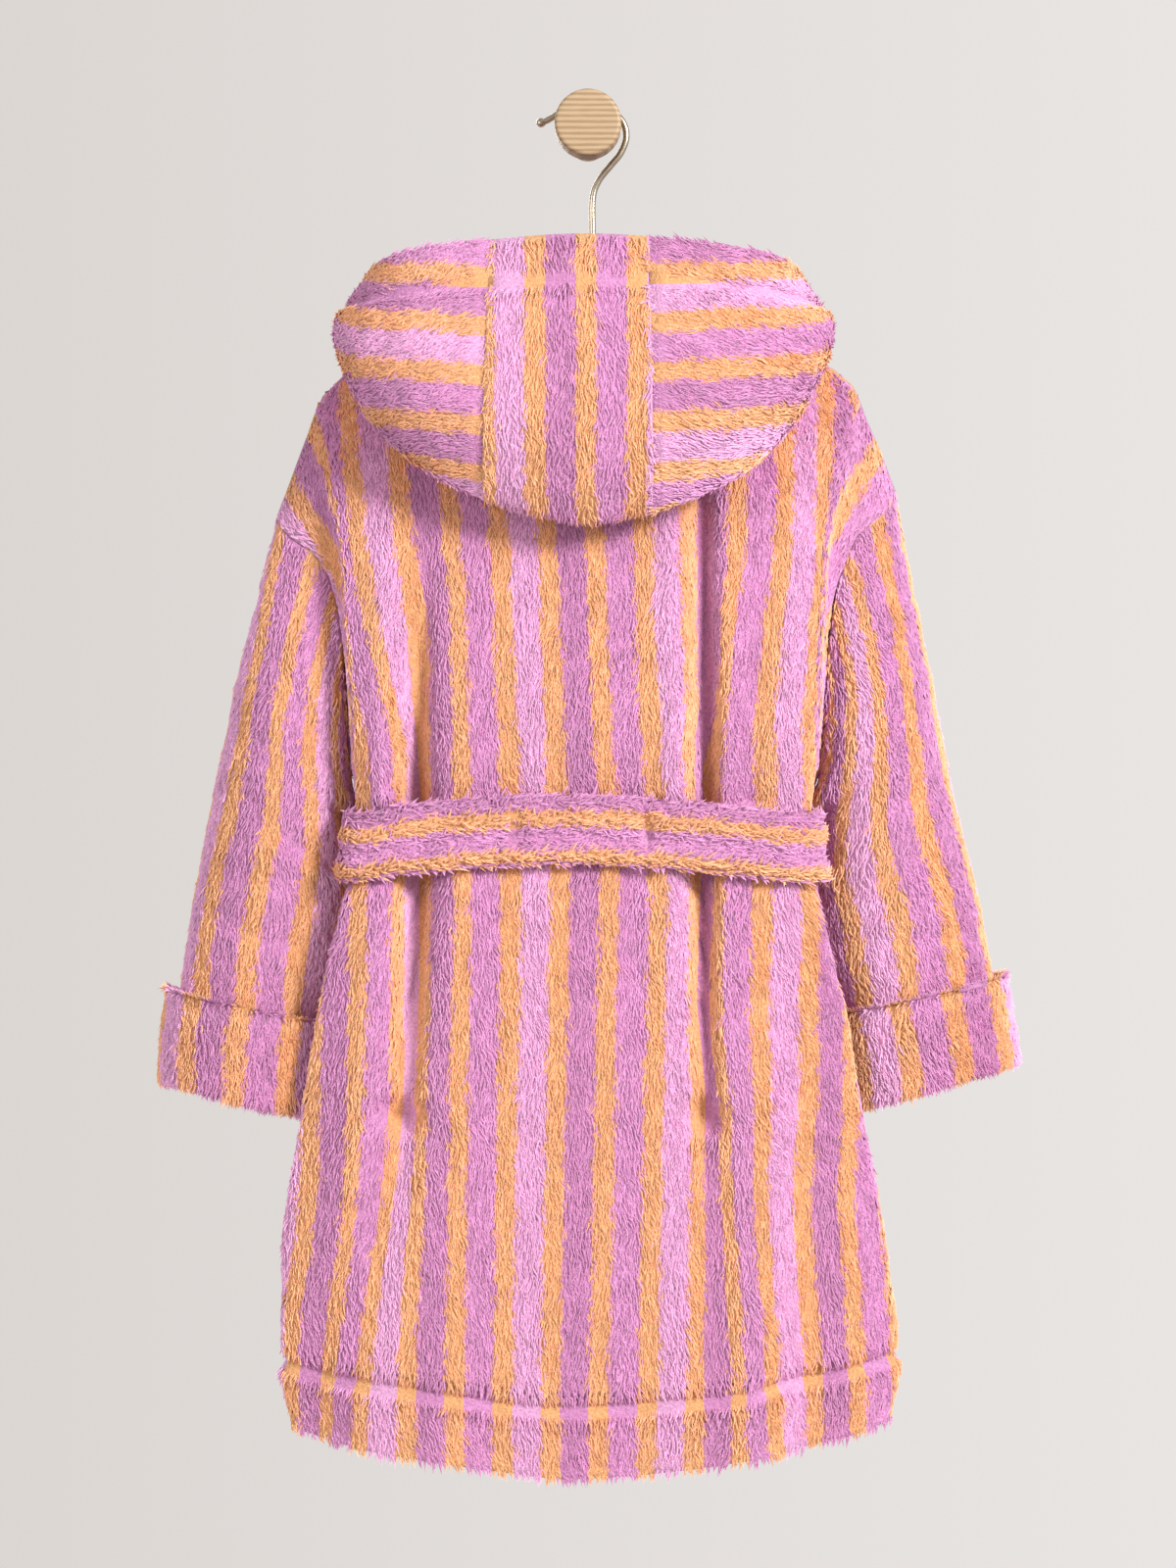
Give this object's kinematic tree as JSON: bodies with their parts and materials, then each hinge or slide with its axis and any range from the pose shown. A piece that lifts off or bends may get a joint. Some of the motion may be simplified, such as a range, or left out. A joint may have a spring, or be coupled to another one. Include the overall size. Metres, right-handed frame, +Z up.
{
  "type": "hooded fleece dressing gown on hanger and wall peg",
  "caption": "Child's hooded fleece dressing gown in lengthwise stripes, with turned-back cuffs and a tie belt, on a wire-hooked hanger hung from a round wooden wall peg.",
  "frame": {"origin": "middle of the peg's back face, on the wall", "axes": "+X to the right as the gown's back is seen, +Y from the gown into the wall, +Z up"},
  "size_m": [0.5293, 0.152, 0.8398],
  "materials": {
    "pink_fleece": "pink long-pile polyester fleece",
    "lilac_fleece": "lilac long-pile polyester fleece",
    "orange_fleece": "soft orange long-pile polyester fleece",
    "beech": "bare beech, matt",
    "nickel_wire": "nickel-plated steel wire"
  },
  "bodies": {
    "root": {"back": "pink_fleece", "front_left": "pink_fleece", "front_right": "lilac_fleece", "sleeve_left": "lilac_fleece", "sleeve_right": "lilac_fleece", "cuff_left": "orange_fleece", "cuff_right": "orange_fleece", "hood_left": "lilac_fleece", "hood_centre": "orange_fleece", "hood_right": "lilac_fleece", "belt": "orange_fleece", "belt_knot": "pink_fleece", "belt_tail_left": "lilac_fleece", "belt_tail_right": "lilac_fleece", "hanger_bar": "beech", "hanger_hook": "nickel_wire", "peg": "beech"}
  },
  "joints": []
}
